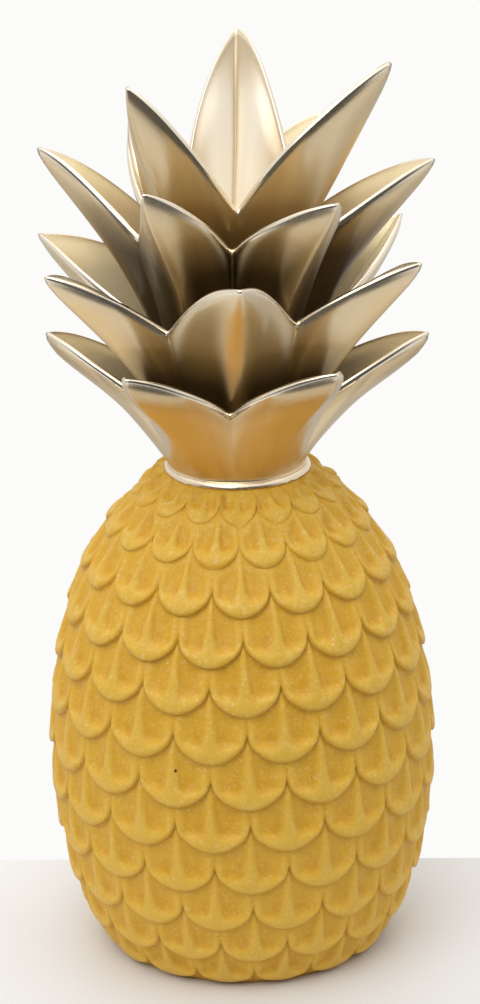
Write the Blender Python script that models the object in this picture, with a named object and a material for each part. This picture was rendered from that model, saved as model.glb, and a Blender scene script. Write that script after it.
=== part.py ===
"""Decorative pineapple: a scaled body and a gilt leaf crown, in metres, +Z up."""
import math

import bmesh
import bpy

MM = 0.001

# Overall
SEAM_HEIGHT = 169.2 * MM
SEAM_GAP = 0.3 * MM
SEAM_RADIUS = 24.3 * MM

# Body profile over the lips of the scales: height and radius from the seam down
PROFILE = (
    (169.2, 24.3),
    (160.8, 35.3),
    (149.6, 45.1),
    (135.4, 53.4),
    (119.8, 59.1),
    (104.2, 62.7),
    (88.3, 64.8),
    (72.4, 65.6),
    (56.8, 65.0),
    (41.1, 63.0),
    (26.0, 59.6),
    (12.3, 54.4),
    (1.3, 47.5),
)
FOOT_RADIUS = 44.0 * MM

# Scales: rows stand half a pitch apart, and each lower edge is a parabola that rises from the
# lip's lowest point to the notches beside it, less high in the row at the foot
SCALES_ROUND = 16
SCALE_ROWS = 12
TURN = math.radians(0.3)
TWIST = math.radians(0.22)
EDGE_RISE = 9.0 * MM
FOOT_EDGE_RISE = 5.2 * MM
EDGE_SIDE = 0.6
EDGE_STEP = 1.7 * MM
EDGE_DROP = 0.5 * MM
RIB_TOP = -0.9 * MM
RIB_LEVEL = -0.1 * MM
RIB_RISE = 9.0 * MM
DIMPLE_DEPTH = 1.9 * MM
DIMPLE_RISE = 10.5 * MM
DIMPLE_SIDE = 0.48
JOIN_DEPTH = 1.3 * MM
JOIN_RISE = 2.4 * MM
NOTCH_DEPTH = 0.6 * MM
SOFT_ROWS = (0.3, 0.7)
SEAM_MARGIN = 1.0 * MM
FOOT_LIFT = 0.9 * MM

# Crown: collar and neck
COLLAR_RADIUS = 24.4 * MM
COLLAR_THICKNESS = 1.9 * MM
NECK_RADIUS = 23.0 * MM
NECK_HEIGHT = 172.0 * MM
CROWN_COLUMNS = 60

# Crown: wall of a leaf at its rim and at its root
RIM_WALL = 1.7 * MM
TIP_WALL = 0.9 * MM
ROOT_WALL = 3.0 * MM

# Crown: floor inside the top cup
CUP_FLOOR = 246.0 * MM
CUP_FLOOR_RADIUS = 13.0 * MM

# Leaf tiers from the lowest up. A leaf's face springs from the root circle, bends through a
# point that lies a share of the way out and up, and ends on the rim. Each leaf gives its tip's
# turn from the regular place in degrees, its tip's radius and height in millimetres, and for its
# left and right half, as seen from outside, how narrow it is and how far its rim bows out;
# each notch gives its turn in degrees and its height in millimetres, and a leaf's first notch
# is the one on its left.
TIERS = (
    {
        "root": (NECK_RADIUS, NECK_HEIGHT),
        "bend": (0.09, 0.18),
        "first_turn": 30.0,
        "leaves": (
            (0.7, 63.5, 217.7, (0.0, 1.3), (0.0, 1.3)),
            (-3.5, 64.3, 215.2, (0.0, 1.3), (0.0, 1.3)),
            (0.0, 63.0, 217.0, (0.0, 1.3), (0.0, 1.3)),
            (0.0, 63.0, 217.0, (0.0, 1.3), (0.0, 1.3)),
            (-0.8, 62.0, 216.5, (0.0, 1.3), (0.0, 1.3)),
            (-3.0, 63.9, 217.0, (0.0, 1.3), (0.0, 1.3)),
        ),
        "notch_radius": 34.5,
        "blunt": 2.3 * MM,
        "notches": (
            (-2.9, 198.2),
            (60.0, 198.2),
            (120.0, 198.2),
            (180.0, 198.2),
            (240.0, 198.2),
            (300.0, 198.2),
        ),
    },
    {
        "root": (24.0 * MM, 184.0 * MM),
        "bend": (0.09, 0.26),
        "first_turn": 0.0,
        "leaves": (
            (2.0, 68.2, 249.9, (0.29, 1.6), (0.35, 1.64)),
            (1.5, 68.9, 247.3, (0.0, 1.3), (0.0, 1.3)),
            (2.4, 68.2, 244.7, (0.0, 1.3), (0.0, 1.3)),
            (0.0, 69.0, 246.0, (0.3, 1.6), (0.3, 1.6)),
            (8.2, 69.5, 243.4, (0.0, 1.3), (0.0, 1.3)),
            (0.2, 69.4, 246.1, (0.0, 1.3), (0.0, 1.3)),
        ),
        "notch_radius": 36.5,
        "blunt": 1.0 * MM,
        "notches": (
            (-36.0, 225.0),
            (34.0, 227.2),
            (90.0, 225.5),
            (150.0, 225.5),
            (212.0, 225.5),
            (272.0, 225.5),
        ),
    },
    {
        "root": (23.0 * MM, 206.0 * MM),
        "bend": (0.05, 0.27),
        "first_turn": 30.0,
        "leaves": (
            (0.8, 64.4, 273.6, (0.0, 1.25), (0.0, 1.25)),
            (-3.7, 66.5, 274.2, (0.0, 1.25), (0.0, 1.25)),
            (0.0, 64.0, 276.0, (0.0, 1.25), (0.0, 1.25)),
            (0.0, 64.0, 276.0, (0.0, 1.25), (0.0, 1.25)),
            (-5.0, 63.0, 278.1, (0.0, 1.25), (0.41, 1.43)),
            (3.4, 61.5, 278.0, (0.48, 0.92), (0.07, 1.25)),
        ),
        "notch_radius": 33.0,
        "blunt": 1.0 * MM,
        "notches": (
            (0.1, 252.8),
            (60.0, 252.8),
            (120.0, 252.8),
            (180.0, 252.8),
            (240.0, 252.8),
            (295.0, 252.2),
        ),
    },
    {
        "root": (18.5 * MM, 234.0 * MM),
        "bend": (0.2, 0.2),
        "first_turn": 36.0,
        "leaves": (
            (28.2, 57.4, 311.2, (0.0, 1.3), (0.18, 1.52)),
            (3.0, 40.0, 285.0, (0.0, 1.15), (0.0, 1.15)),
            (-3.4, 51.2, 306.6, (0.34, 1.67), (0.09, 1.15)),
            (-8.8, 36.3, 286.8, (0.0, 1.15), (0.0, 1.15)),
            (-4.5, 49.5, 308.2, (0.39, 0.9), (0.13, 1.17)),
        ),
        "notch_radius": 28.0,
        "blunt": 0.8 * MM,
        "notches": (
            (4.4, 264.2),
            (88.0, 261.5),
            (131.6, 263.3),
            (212.0, 263.3),
            (286.0, 263.8),
        ),
    },
)
OUTER_STEPS = (0.35, 0.68, 0.92, 1.0)
INNER_STEPS = (1.0, 0.55, 0.0)
KEEL_ROUNDING = 0.14

BODY_COLOUR = (0.69, 0.43, 0.075, 1.0)
CROWN_COLOUR = (0.62, 0.48, 0.30, 1.0)


def clear_scene():
    for obj in list(bpy.data.objects):
        bpy.data.objects.remove(obj, do_unlink=True)


def material(name, colour, roughness, metallic):
    mat = bpy.data.materials.new(name)
    mat.use_nodes = True
    shader = mat.node_tree.nodes["Principled BSDF"]
    shader.inputs["Base Color"].default_value = colour
    shader.inputs["Roughness"].default_value = roughness
    shader.inputs["Metallic"].default_value = metallic
    mat.diffuse_color = colour
    return mat


def polar(radius, turn, height):
    """A point at a turn from the front (-Y), counted towards +X."""
    return (radius * math.sin(turn), -radius * math.cos(turn), height)


def smooth(t):
    t = min(max(t, 0.0), 1.0)
    return t * t * (3.0 - 2.0 * t)


def loft(name, rings, mat, collection):
    """A closed solid through rings of points that all have one count, with flat end faces."""
    bm = bmesh.new()
    loops = [[bm.verts.new(point) for point in ring] for ring in rings]
    count = len(loops[0])
    for lower, upper in zip(loops, loops[1:]):
        for i in range(count):
            j = (i + 1) % count
            bm.faces.new((lower[i], lower[j], upper[j], upper[i]))
    bm.faces.new(list(reversed(loops[0])))
    bm.faces.new(loops[-1])
    bmesh.ops.triangulate(bm, faces=bm.faces, ngon_method="EAR_CLIP")
    bmesh.ops.recalc_face_normals(bm, faces=bm.faces)
    for face in bm.faces:
        face.smooth = True
    mesh = bpy.data.meshes.new(name)
    bm.to_mesh(mesh)
    bm.free()
    mesh.materials.append(mat)
    obj = bpy.data.objects.new(name, mesh)
    collection.objects.link(obj)
    return obj


class Profile:
    """The body's outline as a smooth curve, measured by arc length from the seam."""

    def __init__(self, stations):
        self.points = [(radius * MM, height * MM) for height, radius in stations]
        self.arcs = [0.0]
        for (r0, z0), (r1, z1) in zip(self.points, self.points[1:]):
            self.arcs.append(self.arcs[-1] + math.hypot(r1 - r0, z1 - z0))

    def slope(self, i):
        a = max(i - 1, 0)
        b = min(i + 1, len(self.points) - 1)
        span = self.arcs[b] - self.arcs[a]
        return tuple((self.points[b][k] - self.points[a][k]) / span for k in (0, 1))

    def at(self, arc):
        """Radius, height and the outward unit normal at an arc length."""
        arc = min(max(arc, 0.0), self.arcs[-1])
        i = max(k for k in range(len(self.arcs) - 1) if self.arcs[k] <= arc)
        span = self.arcs[i + 1] - self.arcs[i]
        t = (arc - self.arcs[i]) / span
        m0 = self.slope(i)
        m1 = self.slope(i + 1)
        value = []
        rate = []
        for k in (0, 1):
            p0 = self.points[i][k]
            p1 = self.points[i + 1][k]
            d0 = m0[k] * span
            d1 = m1[k] * span
            c2 = 3.0 * (p1 - p0) - 2.0 * d0 - d1
            c3 = 2.0 * (p0 - p1) + d0 + d1
            value.append(p0 + t * (d0 + t * (c2 + t * c3)))
            rate.append(d0 + t * (2.0 * c2 + 3.0 * t * c3))
        size = math.hypot(*rate)
        return value[0], value[1], -rate[1] / size, rate[0] / size


def body_rings():
    """Rings of points from the seam down: for each row of scales the hollow under the lips
    above, the middle with its ribs and dimples, and the row's own lips."""
    profile = Profile(PROFILE)
    pitch = math.tau / SCALES_ROUND
    count = 4 * SCALES_ROUND

    def place(turn, arc, height):
        radius, level, out_r, out_z = profile.at(arc)
        return polar(radius + height * out_r, turn, level + height * out_z)

    def across(row, k, side):
        """Which line of the scale a column is, its turn, and its place across the scale."""
        line = (k + 2 * (row % 2)) % 4
        start = TURN + TWIST * row
        if line in (0, 2):
            return line, k * pitch / 4.0 + start, line / 2.0
        sign = 1.0 if line == 1 else -1.0
        centre = (k - sign) * pitch / 4.0
        return line, centre + sign * side * pitch / 2.0 + start, sign * side

    def edge_arc(row, u):
        """Arc length of a row's lower edge; u runs from -1 to 1 across a scale."""
        rise = EDGE_RISE if row < SCALE_ROWS - 1 else FOOT_EDGE_RISE
        return profile.arcs[row + 1] - rise * u * u

    rings = [[polar(SEAM_RADIUS, k * pitch / 4.0 + TURN, SEAM_HEIGHT) for k in range(count)]]
    for row in range(SCALE_ROWS):
        lowest = profile.arcs[row + 1]
        soft = SOFT_ROWS[row] if row < len(SOFT_ROWS) else 1.0
        under = []
        middle = []
        crest = []
        for k in range(count):
            line, above_turn, above_u = across(row - 1, k, EDGE_SIDE)
            if row == 0:
                top = SEAM_MARGIN
                above_turn = k * pitch / 4.0 + TURN
            else:
                top = edge_arc(row - 1, above_u) + EDGE_DROP
            top_height = RIB_TOP if line == 2 else -EDGE_STEP
            under.append(place(above_turn, top, top_height * soft))

            line, turn, u = across(row, k, DIMPLE_SIDE)
            if line == 0:
                middle.append(place(turn, lowest - RIB_RISE, RIB_LEVEL * soft))
            elif line == 2:
                level = edge_arc(row, 1.0) - JOIN_RISE
                middle.append(place(turn, max(level, top + 0.2 * MM), -JOIN_DEPTH * soft))
            else:
                middle.append(place(turn, lowest - DIMPLE_RISE, -DIMPLE_DEPTH * soft))

            line, turn, u = across(row, k, EDGE_SIDE)
            lip = -NOTCH_DEPTH if line == 2 else 0.0
            crest.append(place(turn, edge_arc(row, u), lip * soft))
        rings += [under, middle, crest]

    # Under the lowest lips the wall turns in to the flat foot
    under = []
    for k in range(count):
        _, turn, u = across(SCALE_ROWS - 1, k, EDGE_SIDE)
        radius, level, _, _ = profile.at(edge_arc(SCALE_ROWS - 1, u))
        under.append(polar(radius - EDGE_STEP, turn, max(level - EDGE_DROP, FOOT_LIFT)))
    rings.append(under)
    rings.append([polar(FOOT_RADIUS, k * pitch / 4.0 + TURN, 0.0) for k in range(count)])
    return rings


class Tier:
    """One cup of leaves: six or five pointed, folded leaves joined in notches."""

    def __init__(self, sizes, above):
        self.root = sizes["root"]
        self.above = above
        self.bend = sizes["bend"]
        self.leaves = sizes["leaves"]
        self.blunt = sizes["blunt"]
        self.count = len(self.leaves)
        self.first = sizes["first_turn"]
        self.span = 360.0 / self.count
        self.notch_radius = sizes["notch_radius"] * MM
        self.notches = sizes["notches"]

    def column(self, turn):
        """Leaf number and place across it (-1 to 1) for a regular turn in degrees."""
        along = (turn - self.first) / self.span + 0.5
        leaf = math.floor(along + 1e-9)
        return leaf % self.count, 2.0 * (along - leaf) - 1.0, 360.0 * (leaf // self.count)

    def rim(self, turn, blend):
        """Turn, radius and height of the rim, with the keel eased by blend."""
        leaf, across, whole = self.column(turn)
        drift, radius, height, left, right = self.leaves[leaf]
        narrow, bow = left if across < 0.0 else right
        tip_turn = self.first + leaf * self.span + drift + whole
        side = leaf if across < 0.0 else (leaf + 1) % self.count
        side_turn, side_height = self.notches[side]
        side_turn += whole
        if across >= 0.0 and side == 0:
            side_turn += 360.0
        away = abs(across)
        eased = math.hypot(away, blend) - (math.hypot(1.0, blend) - 1.0) * away
        aside = away * (1.0 - narrow * (1.0 - away ** 3))
        real_turn = tip_turn + aside * (side_turn - tip_turn)
        real_radius = radius * MM + (self.notch_radius - radius * MM) * eased
        real_height = height * MM + (side_height - height) * MM * eased ** bow
        return math.radians(real_turn), real_radius, real_height

    def swell(self, turn, t):
        """How far the keel stands out below its tip, which makes the tip blunt."""
        _, across, _ = self.column(turn)
        keel = max(0.0, 1.0 - 4.0 * across * across)
        rise = smooth((t - 0.6) / 0.32)
        return self.blunt * keel * rise * min(1.0, (1.0 - t) / 0.07) ** 0.5

    def outer(self, turn, t, ease=True):
        """Turn, radius, height and the slope of the leaf's outer face."""
        blend = KEEL_ROUNDING * (1.0 - t) if ease else 0.0
        real_turn, radius, height = self.rim(turn, blend)
        r0, z0 = self.root
        run = radius - r0
        rise = height - z0
        out, up = self.bend
        r = r0 + run * t * (2.0 * out + (1.0 - 2.0 * out) * t)
        z = z0 + rise * t * (2.0 * up + (1.0 - 2.0 * up) * t)
        dr = 2.0 * run * (out + (1.0 - 2.0 * out) * t)
        dz = 2.0 * rise * (up + (1.0 - 2.0 * up) * t)
        size = math.hypot(dr, dz)
        if ease:
            swell = self.swell(turn, t) / size
            r += swell * dz
            z -= swell * dr
        settle = min(1.0, t * 1.6)
        regular = math.radians(turn)
        return regular + (real_turn - regular) * settle, r, z, dr / size, dz / size

    def inner(self, turn, k):
        """The inner face; k is 1 at the rim and 0 just above the floor of the gap."""
        floor = self.above + 3.0 * MM
        _, _, height = self.rim(turn, 0.0)
        z0 = self.root[1]
        share = (floor - z0) / (height - z0)
        a = 1.0 - 2.0 * self.bend[1]
        b = 2.0 * self.bend[1]
        lowest = (-b + math.sqrt(b * b + 4.0 * a * share)) / (2.0 * a)
        t = lowest + (1.0 - lowest) * k
        real_turn, r, z, dr, dz = self.outer(turn, t, ease=False)
        wall = ROOT_WALL + (RIM_WALL - ROOT_WALL) * t
        _, across, _ = self.column(turn)
        wall -= (RIM_WALL - TIP_WALL) * k * max(0.0, 1.0 - 4.0 * abs(across))
        return polar(r - wall * dz, real_turn, z + wall * dr)


def crown_rings():
    turns = [360.0 * k / CROWN_COLUMNS for k in range(CROWN_COLUMNS)]

    def circle(radius, height):
        return [polar(radius, math.radians(turn), height) for turn in turns]

    bottom = SEAM_HEIGHT + SEAM_GAP
    rings = [
        circle(COLLAR_RADIUS, bottom),
        circle(COLLAR_RADIUS, bottom + COLLAR_THICKNESS),
        circle(NECK_RADIUS, NECK_HEIGHT),
    ]
    for number, sizes in enumerate(TIERS):
        if number + 1 < len(TIERS):
            above_radius, above = TIERS[number + 1]["root"]
        else:
            above_radius, above = CUP_FLOOR_RADIUS, CUP_FLOOR
        tier = Tier(sizes, above)
        for t in OUTER_STEPS:
            ring = []
            for turn in turns:
                real_turn, r, z, _, _ = tier.outer(turn, t)
                ring.append(polar(r, real_turn, z))
            rings.append(ring)
        for k in INNER_STEPS:
            rings.append([tier.inner(turn, k) for turn in turns])
        rings.append(circle(above_radius, above))
    return rings


def build():
    clear_scene()
    parts = bpy.data.collections.new("decorative_pineapple")
    bpy.context.scene.collection.children.link(parts)
    yellow = material("yellow_glaze", BODY_COLOUR, 0.5, 0.0)
    gold = material("champagne_gold", CROWN_COLOUR, 0.28, 1.0)
    loft("body", body_rings(), yellow, parts)
    loft("crown", crown_rings(), gold, parts)


build()
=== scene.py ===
"""Looks of the decorative pineapple: a matt mustard glaze on the scales, satin gold leaves."""
import math

import bmesh
import bpy
from mathutils import Matrix, Vector, noise


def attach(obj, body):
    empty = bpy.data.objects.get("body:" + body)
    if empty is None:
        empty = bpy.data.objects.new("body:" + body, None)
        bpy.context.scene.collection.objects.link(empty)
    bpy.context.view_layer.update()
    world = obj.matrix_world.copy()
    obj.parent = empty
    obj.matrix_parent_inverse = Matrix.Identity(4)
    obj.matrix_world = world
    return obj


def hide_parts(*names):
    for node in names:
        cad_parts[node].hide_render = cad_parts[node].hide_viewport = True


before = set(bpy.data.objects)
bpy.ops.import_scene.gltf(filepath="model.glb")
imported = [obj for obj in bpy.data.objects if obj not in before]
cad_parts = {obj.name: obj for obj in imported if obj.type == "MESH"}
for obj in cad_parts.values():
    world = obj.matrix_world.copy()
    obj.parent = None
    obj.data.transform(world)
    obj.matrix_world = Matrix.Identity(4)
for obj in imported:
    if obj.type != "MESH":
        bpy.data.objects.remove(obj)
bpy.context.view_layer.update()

MM = 0.001

# The photograph's frame and the camera that fits the outline in it
IMAGE_WIDTH = 480
IMAGE_HEIGHT = 1004
CAMERA_DISTANCE = 1.2343
CAMERA_HEIGHT = 0.5982
CAMERA_PITCH = math.radians(19.688)
CAMERA_ROLL = math.radians(-1.236)
FOCAL_PIXELS = 3914.9
AXIS_PIXEL = 237.31
SENSOR_MM = 36.0
CLIP_START = 0.01

# Table: its size, its back edge, and how far in front it fades for what the metal mirrors
TABLE_REACH = 3.0
TABLE_EDGE = 54.5 * MM
TABLE_SLOPE = -0.0412
TABLE_FRONT = -0.2
TABLE_FADE = 0.12
TABLE_ROUGHNESS = 0.55

# Studio: its brightness all round, more of it overhead, a dark patch low in front, less below.
# The ranges are parts of a ray's direction. Then its part in lighting matt surfaces, and the
# plain backdrop that the camera sees
WORLD_COLOUR = (1.0, 0.995, 0.985, 1.0)
WORLD_LIGHT = 0.92
WORLD_TOP = 0.45
TOP_RANGE = (0.3, 0.75)
WORLD_DARK = 0.06
DARK_IN_FRONT = (-0.75, -0.2)
DARK_LOW = (0.2, 0.7)
WORLD_UNDER = 0.6
UNDER_RANGE = (-0.55, -0.1)
WORLD_ON_MATT = 0.72
BACKDROP = 0.97

# Soft square lights: name, place, aim, size, power, colour, and whether the metal mirrors it
LIGHTS = (
    ("key", (-0.5, -1.0, 1.25), (0.0, 0.0, 0.14), 1.3, 11.5, (1.0, 0.99, 0.97), True),
    ("side", (0.95, -0.6, 1.1), (0.0, 0.0, 0.14), 1.1, 1.0, (1.0, 1.0, 1.0), False),
    ("overhead", (0.0, -0.05, 1.5), (0.0, 0.0, 0.1), 1.4, 4.0, (1.0, 1.0, 1.0), False),
)

# Body: the same sizes as the solid's, its outline as heights and radii in mm
SEAM_HEIGHT = 169.2 * MM
SEAM_RADIUS = 24.3 * MM
PROFILE = (
    (169.2, 24.3),
    (160.8, 35.3),
    (149.6, 45.1),
    (135.4, 53.4),
    (119.8, 59.1),
    (104.2, 62.7),
    (88.3, 64.8),
    (72.4, 65.6),
    (56.8, 65.0),
    (41.1, 63.0),
    (26.0, 59.6),
    (12.3, 54.4),
    (1.3, 47.5),
)
FOOT_RADIUS = 44.0 * MM
SCALES_ROUND = 16
SCALE_ROWS = 12
TURN = math.radians(0.3)
TWIST = math.radians(0.22)
EDGE_STEP = 1.7 * MM
EDGE_DROP = 0.5 * MM
SEAM_MARGIN = 1.0 * MM
FOOT_LIFT = 0.9 * MM

# Body: lower edge of a scale, a parabola with a narrow notch at its ends
EDGE_BOW = 7.3 * MM
EDGE_BOW_LOSS = 0.06 * MM
WIDEST_ROW = 5.3
FOOT_EDGE_BOW = 3.4 * MM
NOTCH_RISE = 2.1 * MM
NOTCH_POWER = 18
EDGE_UNEVEN = 0.35 * MM

# Body: fineness of the mesh. The last rings go round the rolled lower edge
COLUMNS_PER_SCALE = 26
FACE_RINGS = 13
ROLL_RINGS = (0.74, 0.46, 0.24, 0.08, 0.0)

# Body: carving of a scale. Heights run up from its lowest point, places across it run from 0 at
# its rib to 1 at its sides, and a pair is where a change begins and how far it takes
ROLL = 1.9 * MM
ROLL_DEPTH = 0.9 * MM
UNDERCUT = 1.15 * MM
UNDERCUT_DROP = 0.1 * MM
FACE_FALL = 1.0 * MM
FACE_FALL_FROM = 8.0 * MM
RIB = 0.04
RIB_LEAN = 0.05
RIB_LOWER = 0.05
RIB_LOWER_AT = (9.0 * MM, 8.0 * MM)
RIB_FOOT = 0.07
RIB_FOOT_AT = (4.0 * MM, 5.0 * MM)
RIB_DIVE = 0.8 * MM
RIB_DIVE_REACH = 3.2 * MM
RIB_DIVE_WIDTH = 1.0 / 3.0
BOWL_DEPTH = 1.6 * MM
BOWL_UNEVEN = 0.15
BOWL_SHALLOW = 0.55
BOWL_SHALLOW_AT = (11.0 * MM, 8.0 * MM)
BOWL_SIDE = 0.94
BOWL_SIDE_SLOPE = 0.42
BOWL_SLOPE = 0.15
BOWL_SLOPE_LOWER = 0.13
BOWL_SLOPE_LOWER_AT = (5.0 * MM, 6.0 * MM)
BOWL_TOP = 6.0 * MM
LIP_THICK = 4.9 * MM
LIP_THIN = 1.5 * MM
LIP_THIN_AT = (0.3, 0.58)
LIP_UNEVEN = 0.08
LIP_WALL = 0.8 * MM
LIP_WALL_SHARE = 0.6
LIP_RISE = 0.35 * MM
LIP_RISE_AT = 3.0 * MM
LIP_RISE_WIDTH = 3.0 * MM
LIP_RISE_TOP = 0.45 * MM
LIP_RISE_ROWS = 5.0
JOIN_DEPTH = 0.9 * MM
JOIN_WIDTH = 0.9 * MM
JOIN_FROM = 0.8
JOIN_FADE = 0.75
JOIN_FADE_AT = (2.0 * MM, 5.0 * MM)

# Body: how much of the carving shows in the rows under the collar, and the ribs and lumps there
EDGE_SOFT_ROWS = (0.03, 0.5, 0.9)
BOWL_SOFT_ROWS = (0.6, 0.9, 0.95)
TOP_RIB = 1.2 * MM
TOP_RIB_WIDTH = 1.5 * MM
TOP_RIB_FADE = 2.0 * MM
TOP_LUMPS = 1.7 * MM
TOP_LUMPS_END = 34.0 * MM
TOP_LUMPS_COARSER = 0.9
TOP_LUMPS_SHIFT = (3.0, 1.0, 2.0)

# Body: small bumps all over, how many there are round it and along it, and finer ones on them
BUMPS = 0.13 * MM
BUMPS_ROUND = 9.0
BUMPS_ALONG = 130.0
BUMPS_FINE = 0.05 * MM
BUMPS_FINER = 3.1

# Body: the painted shade that darkens the glaze, from 0 to 1, in the bowls and most at one spot in
# each, in the grooves, just under the scales above, along and under the rolled lips and at the
# seam, and how much the painted highlight on the ridges loses where the face falls back
BOWL_SHADE = 0.36
BOWL_SHADE_SPOT = 0.74
BOWL_SHADE_SPOT_PLACE = (0.32, 8.0 * MM)
BOWL_SHADE_SPOT_SIZE = (0.2, 3.0 * MM)
DARK_JOIN = 0.4
DARK_UNDER = 0.35
DARK_UNDER_REACH = 2.2 * MM
DARK_RIM = 0.25
DARK_UNDERCUT = 0.7
DARK_SEAM = 0.6
HIGHLIGHT_LOSS = 0.5

# Body: a dark pit in the glaze
PIT = (-21.9 * MM, -60.7 * MM, 85.5 * MM)
PIT_SIZE = 0.8 * MM

# Crown: the same sizes as the solid's
SEAM_GAP = 0.3 * MM
COLLAR_RADIUS = 24.4 * MM
COLLAR_THICKNESS = 1.9 * MM
NECK_RADIUS = 23.0 * MM
NECK_HEIGHT = 172.0 * MM
RIM_WALL = 1.7 * MM
TIP_WALL = 0.9 * MM
ROOT_WALL = 3.0 * MM
GAP_FLOOR = 3.0 * MM
CUP_FLOOR = 246.0 * MM
CUP_FLOOR_RADIUS = 13.0 * MM

# Crown: edge of the collar as mm inwards, share of its thickness and mm of sagging
COLLAR_PROFILE = (
    (0.3, -0.08, 0.3),
    (0.08, -0.04, 0.3),
    (0.0, 0.08, 0.3),
    (0.08, 0.3, 0.2),
    (0.3, 0.55, 0.1),
    (0.6, 0.78, 0.0),
    (0.9, 0.95, 0.0),
    (1.05, 1.0, 0.0),
)
COLLAR_ASIDE = 0.4 * MM
COLLAR_UNEVEN = 0.2 * MM
# Painted highlight on the collar's edge
COLLAR_SHINE = 0.7

# Crown: the tiers, lowest first. "root" is the radius and height of a cup's foot, and "bend" how
# its wall leaves that, outwards and upwards. A leaf has its drift from an even turn in degrees,
# the radius and height of its tip in mm, and for its left and right half how much that is drawn
# in and the power by which its rim sinks from the tip. A notch between two leaves has its turn in
# degrees and its height in mm. "blunt" fills the keel under the tip, "roll" is how far the face
# stands out under its rim, and "keels" ease the folds of the leaves. For the painted shade and
# reflections, "shade" is the height in mm under which the faces grow dark with painted shade and
# over how many mm, "band" browns the faces under the rim with a dark painted reflection, "stripe"
# paints a golden reflection along the keels and "inner" darkens the inner faces with painted
# shade.
TIERS = (
    {
        "root": (NECK_RADIUS, NECK_HEIGHT),
        "bend": (0.09, 0.18),
        "first_turn": 30.0,
        "notch_radius": 34.5,
        "leaves": (
            (0.7, 63.5, 217.7, (0.0, 1.3), (0.0, 1.3)),
            (-3.5, 64.3, 215.2, (0.0, 1.3), (0.0, 1.3)),
            (0.0, 63.0, 217.0, (0.0, 1.3), (0.0, 1.3)),
            (0.0, 63.0, 217.0, (0.0, 1.3), (0.0, 1.3)),
            (-0.8, 62.0, 216.5, (0.0, 1.3), (0.0, 1.3)),
            (-3.0, 63.9, 217.0, (0.0, 1.3), (0.0, 1.3)),
        ),
        "notches": (
            (-2.9, 198.2),
            (60.0, 198.2),
            (120.0, 198.2),
            (180.0, 198.2),
            (240.0, 198.2),
            (300.0, 198.2),
        ),
        "blunt": 2.3 * MM,
        "roll": 0.4 * MM,
        "keels": (0.1, 0.1, 0.1, 0.1, 0.1, 0.1),
        "shade": (150.0, 1.0),
        "band": 0.22,
        "stripe": 0.08,
        "inner": 0.0,
    },
    {
        "root": (24.0 * MM, 184.0 * MM),
        "bend": (0.09, 0.26),
        "first_turn": 0.0,
        "notch_radius": 36.5,
        "leaves": (
            (2.0, 68.2, 249.9, (0.29, 1.6), (0.35, 1.64)),
            (1.5, 68.9, 247.3, (0.0, 1.3), (0.0, 1.3)),
            (2.4, 68.2, 244.7, (0.0, 1.3), (0.0, 1.3)),
            (0.0, 69.0, 246.0, (0.3, 1.6), (0.3, 1.6)),
            (8.2, 69.5, 243.4, (0.0, 1.3), (0.0, 1.3)),
            (0.2, 69.4, 246.1, (0.0, 1.3), (0.0, 1.3)),
        ),
        "notches": (
            (-36.0, 225.0),
            (34.0, 227.2),
            (90.0, 225.5),
            (150.0, 225.5),
            (212.0, 225.5),
            (272.0, 225.5),
        ),
        "blunt": 1.0 * MM,
        "roll": 0.7 * MM,
        "keels": (0.38, 0.1, 0.1, 0.1, 0.1, 0.1),
        "shade": (229.0, 25.0),
        "band": 0.0,
        "stripe": 0.7,
        "inner": 0.0,
    },
    {
        "root": (23.0 * MM, 206.0 * MM),
        "bend": (0.05, 0.27),
        "first_turn": 30.0,
        "notch_radius": 33.0,
        "leaves": (
            (0.8, 64.4, 273.6, (0.0, 1.25), (0.0, 1.25)),
            (-3.7, 66.5, 274.2, (0.0, 1.25), (0.0, 1.25)),
            (0.0, 64.0, 276.0, (0.0, 1.25), (0.0, 1.25)),
            (0.0, 64.0, 276.0, (0.0, 1.25), (0.0, 1.25)),
            (-5.0, 63.0, 278.1, (0.0, 1.25), (0.41, 1.43)),
            (3.4, 61.5, 278.0, (0.48, 0.92), (0.07, 1.25)),
        ),
        "notches": (
            (0.1, 252.8),
            (60.0, 252.8),
            (120.0, 252.8),
            (180.0, 252.8),
            (240.0, 252.8),
            (295.0, 252.2),
        ),
        "blunt": 1.0 * MM,
        "roll": 0.7 * MM,
        "keels": (0.12, 0.1, 0.1, 0.1, 0.1, 0.12),
        "shade": (272.0, 30.0),
        "band": 0.0,
        "stripe": 0.2,
        "inner": 0.05,
    },
    {
        "root": (18.5 * MM, 234.0 * MM),
        "bend": (0.2, 0.2),
        "first_turn": 36.0,
        "notch_radius": 28.0,
        "leaves": (
            (28.2, 57.4, 311.2, (0.0, 1.3), (0.18, 1.52)),
            (3.0, 40.0, 285.0, (0.0, 1.15), (0.0, 1.15)),
            (-3.4, 51.2, 306.6, (0.34, 1.67), (0.09, 1.15)),
            (-8.8, 36.3, 286.8, (0.0, 1.15), (0.0, 1.15)),
            (-4.5, 49.5, 308.2, (0.39, 0.9), (0.13, 1.17)),
        ),
        "notches": (
            (4.4, 264.2),
            (88.0, 261.5),
            (131.6, 263.3),
            (212.0, 263.3),
            (286.0, 263.8),
        ),
        "blunt": 0.8 * MM,
        "roll": 0.7 * MM,
        "keels": (0.1, 0.1, 0.1, 0.1, 0.1),
        "shade": (285.0, 48.0),
        "band": 0.0,
        "stripe": 0.15,
        "inner": 0.0,
    },
)

# Crown: fineness of the mesh, and how much its rings crowd towards the rims
CROWN_COLUMNS = 360
OUTER_RINGS = 18
OUTER_CROWD = 1.5
INNER_RINGS = 14
INNER_CROWD = 1.3
RIM_RINGS = 8

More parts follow.
